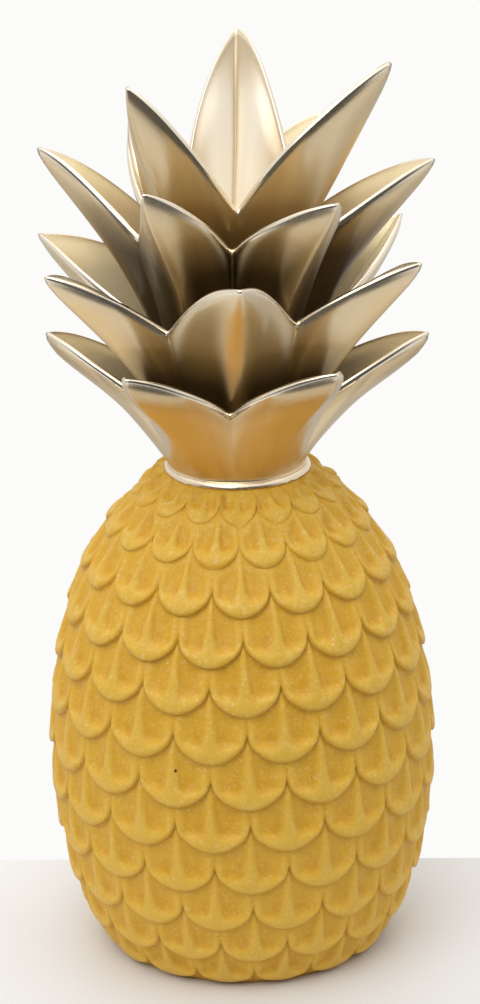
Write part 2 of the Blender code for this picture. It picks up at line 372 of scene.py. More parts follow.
# Crown: roundings and waves. Shares run from 0 at a leaf's root to 1 at its rim
RIM_BEAD = 0.25 * MM
NOTCH_BEAD = 0.45 * MM
NOTCH_BEAD_WIDTH = 0.035
SETTLED = 0.625
KEEL_FADE = 0.6
BLUNT_AT = (0.6, 0.32)
BLUNT_END = 0.07
ROLL_GROWN = 0.4
EDGE_ROLL_FROM = 0.94
PUFF = 1.3 * MM
PUFF_REACH = 0.3
FLUTE = 0.4 * MM
FLUTES = 5.5
FLUTE_ALONG = 0.6
FLUTE_APART = 130.0
FLUTE_GROWN = 0.3
FLUTE_END = 0.2

# Crown: where its painted shade, painted reflections and painted highlights change, as shares of a
# leaf's length or of its half width
SHADE_KEEL = 0.5
SHADE_KEEL_WIDTH = 0.22
BAND_AT = (0.8, 0.13)
STRIPE_ASIDE = 0.06
STRIPE_WIDTH = 0.32
STRIPE_POWER = 4
STRIPE_GROWN = 0.4
STRIPE_END = (0.97, 0.08)
RIM_SHINE = 0.5
RIM_SHINE_AT = (0.9, 0.1)
CREASE = 0.4
CREASE_WIDTH = 0.05
CREASE_SIDES = 0.3
CREASE_SIDES_AT = (0.35, 0.5)
CREASE_TIP = 0.27
CREASE_TIP_AT = (284.0 * MM, 16.0 * MM)


def polar(radius, turn, height):
    """A point at a turn from the front (-Y), counted towards +X."""
    return (radius * math.sin(turn), -radius * math.cos(turn), height)


def smooth(t):
    t = min(max(t, 0.0), 1.0)
    return t * t * (3.0 - 2.0 * t)


def rising(value, at):
    """0 before a place and 1 beyond it; at is where the change begins and how far it takes."""
    return smooth((value - at[0]) / at[1])


def fading(value, at):
    return 1.0 - rising(value, at)


def bell(value, width):
    """1 at zero, less on both sides of it."""
    return math.exp(-((value / width) ** 2))


class Rings:
    """Rings of points for a closed mesh, with a value for each point in each mask."""

    def __init__(self, *names):
        self.points = []
        self.masks = {name: [] for name in names}

    def add(self, ring, **values):
        """Adds a ring. A mask's value is one number for all of it, or a list, or else 0."""
        self.points.append(ring)
        for name, rows in self.masks.items():
            value = values.get(name, 0.0)
            rows.append(value if isinstance(value, list) else [value] * len(ring))

    def loft(self, name):
        """A smooth closed object through the rings, with the masks as attributes."""
        bm = bmesh.new()
        layers = {key: bm.verts.layers.float.new(key) for key in self.masks}
        loops = []
        for number, ring in enumerate(self.points):
            loop = []
            for place, point in enumerate(ring):
                vert = bm.verts.new(point)
                for key, layer in layers.items():
                    vert[layer] = self.masks[key][number][place]
                loop.append(vert)
            loops.append(loop)
        count = len(loops[0])
        for lower, upper in zip(loops, loops[1:]):
            for i in range(count):
                j = (i + 1) % count
                bm.faces.new((lower[i], lower[j], upper[j], upper[i]))
        for loop in (loops[0], loops[-1]):
            centre = bm.verts.new(sum((vert.co for vert in loop), Vector()) / count)
            for i in range(count):
                bm.faces.new((loop[i], loop[(i + 1) % count], centre))
        bmesh.ops.recalc_face_normals(bm, faces=bm.faces)
        for face in bm.faces:
            face.smooth = True
        mesh = bpy.data.meshes.new(name)
        bm.to_mesh(mesh)
        bm.free()
        obj = bpy.data.objects.new(name, mesh)
        bpy.context.scene.collection.objects.link(obj)
        return obj


# Body

class Profile:
    """The body's outline as a smooth curve, measured by arc length from the seam."""

    def __init__(self, stations):
        self.points = [(radius * MM, height * MM) for height, radius in stations]
        self.arcs = [0.0]
        for (r0, z0), (r1, z1) in zip(self.points, self.points[1:]):
            self.arcs.append(self.arcs[-1] + math.hypot(r1 - r0, z1 - z0))

    def slope(self, i):
        a = max(i - 1, 0)
        b = min(i + 1, len(self.points) - 1)
        span = self.arcs[b] - self.arcs[a]
        return tuple((self.points[b][k] - self.points[a][k]) / span for k in (0, 1))

    def at(self, arc):
        """Radius, height and the outward unit normal at an arc length."""
        arc = min(max(arc, 0.0), self.arcs[-1])
        i = max(k for k in range(len(self.arcs) - 1) if self.arcs[k] <= arc)
        span = self.arcs[i + 1] - self.arcs[i]
        t = (arc - self.arcs[i]) / span
        m0 = self.slope(i)
        m1 = self.slope(i + 1)
        value = []
        rate = []
        for k in (0, 1):
            p0 = self.points[i][k]
            p1 = self.points[i + 1][k]
            d0 = m0[k] * span
            d1 = m1[k] * span
            c2 = 3.0 * (p1 - p0) - 2.0 * d0 - d1
            c3 = 2.0 * (p0 - p1) + d0 + d1
            value.append(p0 + t * (d0 + t * (c2 + t * c3)))
            rate.append(d0 + t * (2.0 * c2 + 3.0 * t * c3))
        size = math.hypot(*rate)
        return value[0], value[1], -rate[1] / size, rate[0] / size


def edge_bow(row):
    if row == SCALE_ROWS - 1:
        return FOOT_EDGE_BOW
    return EDGE_BOW - EDGE_BOW_LOSS * (row - WIDEST_ROW) ** 2


def edge_lift(row, u):
    """Height of a scale's lower edge over its lowest point; u runs from -1 to 1 across it."""
    return edge_bow(row) * u * u + NOTCH_RISE * abs(u) ** NOTCH_POWER


def scale_at(row, column):
    """Number of the scale that a column crosses, and its place across it from -1 to 1."""
    along = column / COLUMNS_PER_SCALE - 0.5 * (row % 2)
    number = math.floor(along + 0.5)
    return number % SCALES_ROUND, 2.0 * (along - number)


def uneven(row, number, kind):
    """A hand-made difference of one scale from the next, from -1 to 1."""
    return 2.0 * noise.noise(Vector((row * 1.37 + 0.4, number * 2.71 + 0.3, kind * 5.3 + 0.5)))


def handmade(turn, arc):
    """Height of the small bumps all over the body and of the lumps under the collar."""
    place = Vector((math.sin(turn) * BUMPS_ROUND, math.cos(turn) * BUMPS_ROUND, arc * BUMPS_ALONG))
    height = BUMPS * noise.noise(place) + BUMPS_FINE * noise.noise(place * BUMPS_FINER)
    lumps = noise.noise(place * TOP_LUMPS_COARSER + Vector(TOP_LUMPS_SHIFT))
    return height + TOP_LUMPS * fading(arc, (0.0, TOP_LUMPS_END)) * lumps


def shown(soft_rows, row):
    """How much of a kind of carving shows in a row."""
    return soft_rows[row] if row < len(soft_rows) else 1.0


def bowl_at(row, number, u, y, edge):
    """1 in the bowls beside a scale's rib, 0 on the rib, on the lip and at the sides."""
    away = abs(u)
    rib = RIB + RIB_LOWER * fading(y, RIB_LOWER_AT) + RIB_FOOT * fading(y, RIB_FOOT_AT)
    rib += RIB_LEAN * uneven(row, number, 1.0) * (1.0 if u > 0.0 else -1.0)
    share = min(max((away - rib) / (BOWL_SIDE - rib), 0.0), 1.0)
    slope = BOWL_SLOPE + BOWL_SLOPE_LOWER * fading(y, BOWL_SLOPE_LOWER_AT)
    lip = LIP_THIN + (LIP_THICK - LIP_THIN) * fading(away, LIP_THIN_AT)
    lip *= 1.0 + LIP_UNEVEN * uneven(row, number, 2.0)
    wall = LIP_WALL_SHARE * lip + LIP_WALL
    sweep = smooth(share / slope) * smooth((1.0 - share) / BOWL_SIDE_SLOPE)
    return sweep * smooth((edge - lip) / wall + 0.5)


def scale_face(row, number, u, y, top, half):
    """Height of a scale's face under the body's outline, with its hollow value of painted shade
    and its
    ridge value of painted highlight: y is the height over the scale's lowest point, top where the
    scales above end, half the scale's half width."""
    away = abs(u)
    bow = edge_bow(row)
    gap = (1.0 - away) * half
    edge = max(0.0, y - edge_lift(row, u)) / math.hypot(1.0, 2.0 * bow * away / half)
    edge_shown = shown(EDGE_SOFT_ROWS, row)
    bowl_shown = shown(BOWL_SOFT_ROWS, row)
    above_shown = shown(EDGE_SOFT_ROWS, row - 1) if row > 0 else 0.0

    # The face falls back towards the scales above, less where those are soft
    fall = rising(y, (FACE_FALL_FROM, max(top - FACE_FALL_FROM, 1.0 * MM)))
    dive = fading(top - y, (0.0, RIB_DIVE_REACH)) * fading(away, (0.0, RIB_DIVE_WIDTH))
    height = -(FACE_FALL * fall + RIB_DIVE * dive) * above_shown

    bowl = bowl_at(row, number, u, y, edge)
    bowl *= 1.0 - (1.0 - above_shown) * fading(top - y, (0.0, BOWL_TOP))
    depth = BOWL_DEPTH * (1.0 + BOWL_UNEVEN * uneven(row, number, 3.0))
    depth *= 1.0 - BOWL_SHALLOW * rising(y, BOWL_SHALLOW_AT)
    height -= depth * bowl * bowl_shown

    # Groove where a scale meets its neighbours
    join = bell(gap, JOIN_WIDTH) * rising(y, (JOIN_FROM * bow, (1.0 - JOIN_FROM) * bow))
    join *= 1.0 - JOIN_FADE * rising(y - bow - NOTCH_RISE, JOIN_FADE_AT)
    height -= JOIN_DEPTH * join * edge_shown

    # Lower edge, rolled under, and the lip over it
    roll = max(0.0, 1.0 - edge / ROLL)
    height -= ROLL_DEPTH * (1.0 - math.sqrt(max(0.0, 1.0 - roll * roll))) * edge_shown
    rise = LIP_RISE + LIP_RISE_TOP * max(0.0, 1.0 - row / LIP_RISE_ROWS)
    height += rise * (1.0 - away * away) * bell(y - LIP_RISE_AT, LIP_RISE_WIDTH)
    if row == 0:
        height += TOP_RIB * bell(gap, TOP_RIB_WIDTH) * smooth((top - y) / TOP_RIB_FADE)

    # Painted shade: darker in the bowls and most at one spot in each, in the grooves, just under
    # the scales above and along the rolled lower edge
    spot_away, spot_y = BOWL_SHADE_SPOT_PLACE
    spot_width, spot_height = BOWL_SHADE_SPOT_SIZE
    spot = bell(y - spot_y, spot_height) * bell(away - spot_away, spot_width)
    hollow = bowl * bowl_shown * (BOWL_SHADE + BOWL_SHADE_SPOT * spot)
    hollow += DARK_JOIN * join * edge_shown
    hollow += DARK_UNDER * fading(top - y, (0.0, DARK_UNDER_REACH)) * above_shown
    hollow += DARK_RIM * smooth(roll * 2.0 - 0.9) * edge_shown
    # Painted highlight on the ribs and lips, less in the bowls and grooves, where the face falls
    # back and on the rolled edge
    ridge = (1.0 - bowl) * (1.0 - join) * (1.0 - HIGHLIGHT_LOSS * fall)
    ridge *= 1.0 - smooth(roll * 1.3 - 0.3)
    return height, min(1.0, hollow), ridge


def body_mesh():
    profile = Profile(PROFILE)
    count = COLUMNS_PER_SCALE * SCALES_ROUND
    pitch = math.tau / SCALES_ROUND
    rings = Rings("hollow", "ridge")

    def place(turn, arc, height):
        radius, level, out_r, out_z = profile.at(arc)
        return polar(radius + height * out_r, turn, level + height * out_z)

    def turn_at(row, k):
        return pitch * k / COLUMNS_PER_SCALE + TURN + TWIST * row

    def edge_arc(row, k):
        number, u = scale_at(row, k)
        lowest = profile.arcs[row + 1] + EDGE_UNEVEN * uneven(row, number, 0.0) * (1.0 - u * u)
        return lowest - edge_lift(row, u)

    # Hidden top, under the collar, in painted shade
    for share in (0.55, 1.0):
        ring = [polar(SEAM_RADIUS * share, turn_at(0, k), SEAM_HEIGHT) for k in range(count)]
        rings.add(ring, hollow=DARK_SEAM)

    steps = [(1.0, step / (FACE_RINGS - 1)) for step in range(FACE_RINGS)]
    steps += [(roll, 1.0) for roll in ROLL_RINGS]
    for row in range(SCALE_ROWS):
        lowest = profile.arcs[row + 1]
        tops = [SEAM_MARGIN] * count
        if row > 0:
            tops = [edge_arc(row - 1, k) + EDGE_DROP for k in range(count)]
        edges = [edge_arc(row, k) for k in range(count)]
        for roll, share in steps:
            ring = []
            hollow = []
            ridge = []
            for k in range(count):
                number, u = scale_at(row, k)
                half = profile.at(edges[k])[0] * pitch / 2.0
                steep = math.hypot(1.0, 2.0 * edge_bow(row) * u / half)
                border = min(ROLL * steep, 0.6 * (edges[k] - tops[k]))
                arc = tops[k] + (edges[k] - tops[k] - border) * share + border * (1.0 - roll)
                turn = turn_at(row - 1 + share, k)
                values = scale_face(row, number, u, lowest - arc, lowest - tops[k], half)
                ring.append(place(turn, arc, values[0] + handmade(turn, arc)))
                hollow.append(values[1])
                ridge.append(values[2])
            rings.add(ring, hollow=hollow, ridge=ridge)

        # Under the lips, in painted shade
        edge_shown = shown(EDGE_SOFT_ROWS, row)
        depth = UNDERCUT * edge_shown
        ring = [place(turn_at(row, k), edges[k] + UNDERCUT_DROP, -depth) for k in range(count)]
        rings.add(ring, hollow=DARK_UNDERCUT * edge_shown)

    # Under the lowest lips the wall turns in to the flat foot, all in full painted shade
    last = SCALE_ROWS - 1
    for inward, down in ((0.9, 0.6), (1.15, 1.0)):
        ring = []
        for k in range(count):
            radius, level, _, _ = profile.at(edge_arc(last, k))
            low = max(level - EDGE_DROP * down, FOOT_LIFT)
            ring.append(polar(radius - EDGE_STEP * inward, turn_at(last, k), low))
        rings.add(ring, hollow=1.0)
    foot = (
        (FOOT_RADIUS + 0.5 * MM, 0.6 * MM),
        (FOOT_RADIUS, 0.0),
        (0.6 * FOOT_RADIUS, 0.0),
    )
    for radius, level in foot:
        ring = [polar(radius, turn_at(last, k), level) for k in range(count)]
        rings.add(ring, hollow=1.0)
    return rings.loft("pineapple_body")


# Crown

class Tier:
    """One cup of leaves: six or five pointed, folded leaves joined in notches."""

    def __init__(self, sizes, above):
        self.root = sizes["root"]
        self.above = above
        self.bend = sizes["bend"]
        self.leaves = sizes["leaves"]
        self.blunt = sizes["blunt"]
        self.roll = sizes["roll"]
        self.keels = sizes["keels"]
        self.count = len(self.leaves)
        self.first = sizes["first_turn"]
        self.span = 360.0 / self.count
        self.notch_radius = sizes["notch_radius"] * MM
        self.notches = sizes["notches"]

    def column(self, turn):
        """Leaf number, place across it (-1 to 1) and whole turns for a turn in degrees."""
        along = (turn - self.first) / self.span + 0.5
        leaf = math.floor(along + 1e-9)
        return leaf % self.count, 2.0 * (along - leaf) - 1.0, 360.0 * (leaf // self.count)

    def across(self, turn):
        return self.column(turn)[1]

    def rim(self, turn, blend):
        """Turn, radius and height of the rim, with the keel eased by blend."""
        leaf, across, whole = self.column(turn)
        drift, radius, height, left, right = self.leaves[leaf]
        narrow, bow = left if across < 0.0 else right
        tip_turn = self.first + leaf * self.span + drift + whole
        side = leaf if across < 0.0 else (leaf + 1) % self.count
        side_turn, side_height = self.notches[side]
        side_turn += whole
        if across >= 0.0 and side == 0:
            side_turn += 360.0
        away = abs(across)
        eased = math.hypot(away, blend) - (math.hypot(1.0, blend) - 1.0) * away
        aside = away * (1.0 - narrow * (1.0 - away ** 3))
        real_turn = tip_turn + aside * (side_turn - tip_turn)
        real_radius = radius * MM + (self.notch_radius - radius * MM) * eased
        real_height = height * MM + (side_height - height) * MM * eased ** bow
        return math.radians(real_turn), real_radius, real_height

    def swell(self, turn, t):
        """How far the face stands out under its rounded rim, and the keel more under its tip."""
        keel = max(0.0, 1.0 - 4.0 * self.across(turn) ** 2)
        blunt = self.blunt * keel * rising(t, BLUNT_AT) * min(1.0, (1.0 - t) / BLUNT_END) ** 0.5
        past = max(0.0, (t - EDGE_ROLL_FROM) / (1.0 - EDGE_ROLL_FROM))
        roll = self.roll * smooth(t / ROLL_GROWN) * math.sqrt(max(0.0, 1.0 - past * past))
        around = math.radians(turn)
        place = Vector((math.sin(around), math.cos(around), 0.0)) * FLUTES
        place.z = FLUTE_ALONG * t + FLUTE_APART * self.root[1]
        ends = smooth(t / FLUTE_GROWN) * smooth((1.0 - t) / FLUTE_END)
        return blunt + roll + FLUTE * noise.noise(place) * ends

    def outer(self, turn, t, ease=True):
        """Turn, radius, height and the slope of the leaf's outer face."""
        leaf, _, _ = self.column(turn)
        blend = self.keels[leaf] * (1.0 - t) ** KEEL_FADE if ease else 0.0
        real_turn, radius, height = self.rim(turn, blend)
        r0, z0 = self.root
        run = radius - r0
        rise = height - z0
        out, up = self.bend
        r = r0 + run * t * (2.0 * out + (1.0 - 2.0 * out) * t)
        z = z0 + rise * t * (2.0 * up + (1.0 - 2.0 * up) * t)
        dr = 2.0 * run * (out + (1.0 - 2.0 * out) * t)
        dz = 2.0 * rise * (up + (1.0 - 2.0 * up) * t)
        size = math.hypot(dr, dz)
        if ease:
            swell = self.swell(turn, t) / size
            r += swell * dz
            z -= swell * dr
        regular = math.radians(turn)
        real_turn = regular + (real_turn - regular) * min(1.0, t / SETTLED)
        return real_turn, r, z, dr / size, dz / size

    def wall(self, turn, t, k):
        """Thickness of the leaf, less in the corner of its tip; k is 1 at the rim."""
        thick = ROOT_WALL + (RIM_WALL - ROOT_WALL) * t
        corner = max(0.0, 1.0 - 4.0 * abs(self.across(turn)))
        return thick - (RIM_WALL - TIP_WALL) * k * corner

    def inner(self, turn, k):
        """A point of the inner face; k is 1 at the rim and 0 just above the floor of the gap."""
        floor = self.above + GAP_FLOOR
        _, _, height = self.rim(turn, 0.0)
        z0 = self.root[1]
        share = (floor - z0) / (height - z0)
        a = 1.0 - 2.0 * self.bend[1]
        b = 2.0 * self.bend[1]
        lowest = (-b + math.sqrt(b * b + 4.0 * a * share)) / (2.0 * a)
        t = lowest + (1.0 - lowest) * k
        real_turn, r, z, dr, dz = self.outer(turn, t, ease=False)
        puff = math.sin(math.pi * min(1.0, abs(self.across(turn))))
        wall = self.wall(turn, t, k) + PUFF * puff * smooth((1.0 - k) / PUFF_REACH)
        return polar(r - wall * dz, real_turn, z + wall * dr)

    def bead(self, turn, angle):
        """A point on the rounded rim; angle runs from 0 on the outer face to pi on the inner."""
        real_turn, r, z, dr, dz = self.outer(turn, 1.0)
        half = 0.5 * self.wall(turn, 1.0, 1.0)
        size = half + RIM_BEAD + NOTCH_BEAD * bell(1.0 - abs(self.across(turn)), NOTCH_BEAD_WIDTH)
        across = half - size * math.cos(angle)
        along = size * math.sin(angle) - half
        return polar(r - across * dz + along * dr, real_turn, z + across * dr + along * dz)


def outer_shades(sizes, across, t, z):
    """How much painted shade and painted golden reflection a leaf's outer face has at a point."""
    shade_top, shade_fall = sizes["shade"]
    deep = 1.0 - SHADE_KEEL * bell(across, SHADE_KEEL_WIDTH)
    deep *= smooth((shade_top * MM - z) / (shade_fall * MM))
    deep += sizes["band"] * rising(t, BAND_AT)
    stripe = math.exp(-(((across - STRIPE_ASIDE) / STRIPE_WIDTH) ** STRIPE_POWER))
    stripe *= smooth(t / STRIPE_GROWN) * smooth((STRIPE_END[0] - t) / STRIPE_END[1])
    return deep, sizes["stripe"] * stripe


def cup_shade(across, z):
    """Painted shade on a leaf of the open cup: darker in its crease, towards its sides and at its
    tip.
    """
    high = rising(z, CREASE_TIP_AT)
    crease = CREASE * bell(across, CREASE_WIDTH) * (1.0 - high)
    return crease + CREASE_SIDES * rising(abs(across), CREASE_SIDES_AT) + CREASE_TIP * high


def crown_mesh():
    turns = [360.0 * k / CROWN_COLUMNS for k in range(CROWN_COLUMNS)]
    rings = Rings("rim", "fold", "deep", "inside", "stripe")

    def circle(radius, height, drift=0.0, sag=0.0, aside=0.0):
        ring = []
        for turn in turns:
            angle = math.radians(turn)
            around = Vector((math.sin(angle), math.cos(angle), 0.3))
            real_radius = radius + drift * noise.noise(around * 4.0)
            x, y, z = polar(real_radius, angle, height + sag * noise.noise(around * 9.0))
            ring.append((x + aside, y, z))
        return ring

    # Collar: a thin flange with an uneven rounded edge in painted highlight, and a hollow above it
    # in painted shade
    bottom = SEAM_HEIGHT + SEAM_GAP
    top = bottom + COLLAR_THICKNESS
    rings.add(circle(0.6 * COLLAR_RADIUS, bottom), fold=1.0)
    for inward, share, sag in COLLAR_PROFILE:
        radius = COLLAR_RADIUS - inward * MM
        level = bottom + share * COLLAR_THICKNESS
        ring = circle(radius, level, COLLAR_UNEVEN, sag * MM, COLLAR_ASIDE)
        rings.add(ring, rim=COLLAR_SHINE)
    rings.add(circle(NECK_RADIUS + 0.3 * MM, top - 0.15 * MM), rim=0.3, fold=0.5)
    rings.add(circle(NECK_RADIUS + 0.08 * MM, NECK_HEIGHT - 0.6 * MM), fold=0.4)
    rings.add(circle(NECK_RADIUS, NECK_HEIGHT), fold=0.2)

    for number, sizes in enumerate(TIERS):
        open_cup = number == len(TIERS) - 1
        if open_cup:
            above_radius, above = CUP_FLOOR_RADIUS, CUP_FLOOR
        else:
            above_radius, above = TIERS[number + 1]["root"]
        tier = Tier(sizes, above)
        inside = 1.0 if open_cup else 0.5
        # Outer face: painted highlight towards the rim, and painted shade and a painted golden
        # reflection from outer_shades
        for step in range(1, OUTER_RINGS):
            t = 1.0 - (1.0 - step / OUTER_RINGS) ** OUTER_CROWD
            ring = []
            deep = []
            stripe = []
            for turn in turns:
                real_turn, r, z, _, _ = tier.outer(turn, t)
                ring.append(polar(r, real_turn, z))
                shades = outer_shades(sizes, tier.across(turn), t, z)
                deep.append(shades[0])
                stripe.append(shades[1])
            rings.add(ring, rim=RIM_SHINE * rising(t, RIM_SHINE_AT), deep=deep, stripe=stripe)
        # Rounded rim, all in painted highlight
        for step in range(RIM_RINGS + 1):
            angle = math.pi * step / RIM_RINGS
            rings.add([tier.bead(turn, angle) for turn in turns], rim=1.0)
        # Inner face: painted highlight towards the rim, painted shade growing down towards the
        # gap, and painted light inside
        for step in range(1, INNER_RINGS + 1):
            k = 1.0 - (step / INNER_RINGS) ** INNER_CROWD
            ring = [tier.inner(turn, k) for turn in turns]
            deep = sizes["inner"]
            if open_cup:
                deep = [cup_shade(tier.across(turn), z) for turn, (_, _, z) in zip(turns, ring)]
            rim = RIM_SHINE * rising(k, RIM_SHINE_AT)
            rings.add(ring, rim=rim, fold=1.0 - k, deep=deep, inside=inside)
        # The floor of the gap, in full painted shade
        rings.add(circle(above_radius, above), fold=1.0, inside=inside)
    return rings.loft("pineapple_crown")


# Materials

class Nodes:
    """Short calls for a material's node tree."""

    def __init__(self, name):
        self.material = bpy.data.materials.new(name)
        self.material.use_nodes = True
        self.tree = self.material.node_tree
        self.shader = self.tree.nodes["Principled BSDF"]
        self.place = self.make("ShaderNodeTexCoord").outputs["Object"]

    def make(self, kind, **settings):
        node = self.tree.nodes.new(kind)
        for key, value in settings.items():
            setattr(node, key, value)
        return node

    def link(self, output, socket):
        self.tree.links.new(output, socket)

    def axis(self, name):
        """The place along X, Y or Z."""
        split = self.make("ShaderNodeSeparateXYZ")
        self.link(self.place, split.inputs["Vector"])
        return split.outputs[name]

    def mask(self, name):
        return self.make("ShaderNodeAttribute", attribute_name=name).outputs["Fac"]

    def noise(self, scale, detail=3.0, roughness=0.55):
        node = self.make("ShaderNodeTexNoise")
        node.inputs["Scale"].default_value = scale
        node.inputs["Detail"].default_value = detail
        node.inputs["Roughness"].default_value = roughness
        self.link(self.place, node.inputs["Vector"])
        return node.outputs["Fac"]

    def spots(self, scale, size, blur):
        """1 in small round spots scattered in space, 0 elsewhere."""
        cells = self.make("ShaderNodeTexVoronoi")
        cells.inputs["Scale"].default_value = scale
        self.link(self.place, cells.inputs["Vector"])
        return self.range(cells.outputs["Distance"], size, size + blur, 1.0, 0.0)

    def near(self, point, size):
        """1 close to a point, 0 elsewhere."""
        node = self.make("ShaderNodeVectorMath", operation="DISTANCE")
        node.inputs[1].default_value = point
        self.link(self.place, node.inputs[0])
        return self.range(node.outputs["Value"], 0.6 * size, size, 1.0, 0.0)

    def range(self, value, low, high, to_low=0.0, to_high=1.0):
        node = self.make("ShaderNodeMapRange")
        node.inputs["From Min"].default_value = low
        node.inputs["From Max"].default_value = high
        node.inputs["To Min"].default_value = to_low
        node.inputs["To Max"].default_value = to_high
        self.link(value, node.inputs["Value"])
        return node.outputs["Result"]

    def math(self, operation, first, second):
        node = self.make("ShaderNodeMath", operation=operation)
        for socket, value in zip(node.inputs, (first, second)):
            if isinstance(value, (int, float)):
                socket.default_value = value
            else:
                self.link(value, socket)
        return node.outputs["Value"]

    def times(self, first, second):
        return self.math("MULTIPLY", first, second)

    def mix(self, amount, first, second):
        """A colour between two, each a socket or a plain colour."""
        node = self.make("ShaderNodeMix", data_type="RGBA")
        self.link(amount, node.inputs["Factor"])
        for socket, value in zip((node.inputs[6], node.inputs[7]), (first, second)):
            if isinstance(value, tuple):
                socket.default_value = value
            else:
                self.link(value, socket)
        return node.outputs[2]

    def coat(self, base, layers):
        """Lays colours over a base, each by its own amount, and makes the result the colour."""
        colour = base
        for amount, tint in layers:
            colour = self.mix(amount, colour, tint)
        self.link(colour, self.shader.inputs["Base Color"])

    def bump(self, height, distance, strength):
        node = self.make("ShaderNodeBump")
        node.inputs["Distance"].default_value = distance
        node.inputs["Strength"].default_value = strength
        self.link(height, node.inputs["Height"])
        self.link(node.outputs["Normal"], self.shader.inputs["Normal"])


def yellow_glaze():
    """Matt mustard glaze: ochre painted shade in the hollows, in the grooves and under the lips, a
    paler painted highlight on ribs and lips, fine grain, and specks of painted glint.
    """
    nodes = Nodes("yellow_glaze")
    base = (0.71, 0.405, 0.038, 1.0)
    ochre = (0.60, 0.305, 0.02, 1.0)
    pale = (0.735, 0.475, 0.075, 1.0)
    white = (0.90, 0.80, 0.58, 1.0)
    patch_highlight = (0.80, 0.59, 0.17, 1.0)
    black = (0.05, 0.03, 0.01, 1.0)

    clouds = nodes.range(nodes.noise(45.0, 4.0), 0.38, 0.68, 0.0, 0.3)
    mottle = nodes.range(nodes.noise(480.0, 4.0, 0.75), 0.34, 0.62, 0.4, 1.0)
    # Painted shade: ochre in the bowls, grooves and under the lips, mottled; the grain shows more
    # there
    painted_shade = nodes.range(nodes.times(nodes.mask("hollow"), mottle), 0.05, 0.9, 0.0, 0.85)
    # Painted highlight: paler on the ribs and lips
    painted_highlight = nodes.range(nodes.mask("ridge"), 0.35, 1.0, 0.0, 0.6)
    grain = nodes.noise(1250.0, 4.0, 0.75)
    grainy = nodes.range(nodes.mask("hollow"), 0.0, 0.8, 0.45, 1.0)
    grains = nodes.times(nodes.range(grain, 0.45, 0.64, 0.0, 0.7), grainy)

    # Painted glints in white specks and painted highlight in pale patches, on the ridges and high
    # on the body more than elsewhere, where the light falls
    highlight_places = nodes.range(nodes.mask("ridge"), 0.2, 0.9, 0.3, 1.0)
    highlight_places = nodes.times(highlight_places, nodes.range(nodes.axis("Z"), 40.0 * MM, 130.0 * MM, 0.35, 1.0))
    sparse = nodes.range(nodes.noise(190.0, 2.0), 0.5, 0.68)
    specks = nodes.times(nodes.times(nodes.spots(640.0, 0.04, 0.3), sparse), highlight_places)
    dust = nodes.range(nodes.noise(900.0, 2.0), 0.58, 0.78, 0.0, 0.25)
    patches = nodes.times(nodes.range(nodes.noise(420.0, 2.0), 0.52, 0.7, 0.0, 0.45), highlight_places)

    nodes.coat(base, (
        (clouds, pale),
        (painted_shade, ochre),
        (painted_highlight, pale),
        (grains, ochre),
        (nodes.range(specks, 0.0, 1.0, 0.0, 0.7), white),
        (dust, white),
        (patches, patch_highlight),
        (nodes.near(PIT, PIT_SIZE), black),
    ))
    matt = nodes.range(nodes.noise(300.0), 0.3, 0.7, 0.4, 0.52)
    nodes.link(matt, nodes.shader.inputs["Roughness"])
    nodes.shader.inputs["Specular IOR Level"].default_value = 0.22
    relief = nodes.math("ADD", nodes.times(grain, 0.5), nodes.noise(800.0, 3.0))
    nodes.bump(relief, 0.1 * MM, 0.75)
    return nodes.material


def champagne_gold():
    """Satin metal coating with painted light: a paler painted highlight and glossier on the rims,
    a painted golden reflection along the keels, painted shade dark down in the feet of the leaves
    and in the folds, and yellower painted light and duller inside them."""
    nodes = Nodes("champagne_gold")
    base = (0.76, 0.62, 0.41, 1.0)
    warm = (0.63, 0.465, 0.265, 1.0)
    yellow = (0.97, 0.84, 0.54, 1.0)
    light = (0.79, 0.745, 0.68, 1.0)
    brown = (0.50, 0.355, 0.175, 1.0)
    golden = (0.77, 0.56, 0.27, 1.0)
    dark = (0.075, 0.05, 0.025, 1.0)
    bright = (0.87, 0.80, 0.68, 1.0)

    inside = nodes.mask("inside")
    deep = nodes.mask("deep")
    rim = nodes.mask("rim")
    nodes.coat(base, (
        (nodes.range(nodes.noise(20.0, 3.0), 0.38, 0.7, 0.0, 0.3), warm),
        # Painted shade in the folds
        (nodes.range(nodes.mask("fold"), 0.6, 1.0, 0.0, 0.35), warm),
        # Painted light: paler and yellower inside the cups
        (nodes.range(inside, 0.0, 0.5, 0.0, 0.85), yellow),
        (nodes.range(inside, 0.5, 1.0, 0.0, 0.7), light),
        # Painted shade and dark painted reflection, brown then dark, and a painted golden
        # reflection along the keels
        (nodes.range(deep, 0.0, 0.35, 0.0, 0.8), brown),
        (nodes.mask("stripe"), golden),
        (nodes.range(deep, 0.22, 0.95, 0.0, 0.95), dark),
        # Painted highlight on the rims and the collar's edge
        (nodes.range(rim, 0.4, 1.0, 0.0, 0.68), bright),
    ))
    satin = nodes.range(nodes.noise(600.0, 3.0), 0.3, 0.7, 0.29, 0.35)
    satin = nodes.times(satin, nodes.range(rim, 0.4, 1.0, 1.0, 0.72))
    nodes.link(satin, nodes.shader.inputs["Roughness"])
    nodes.link(nodes.range(inside, 0.0, 0.5, 1.0, 0.35), nodes.shader.inputs["Metallic"])
    waves = nodes.math("ADD", nodes.noise(700.0, 1.0), nodes.times(nodes.noise(60.0, 1.0), 4.0))
    nodes.bump(waves, 0.012 * MM, 0.6)
    return nodes.material


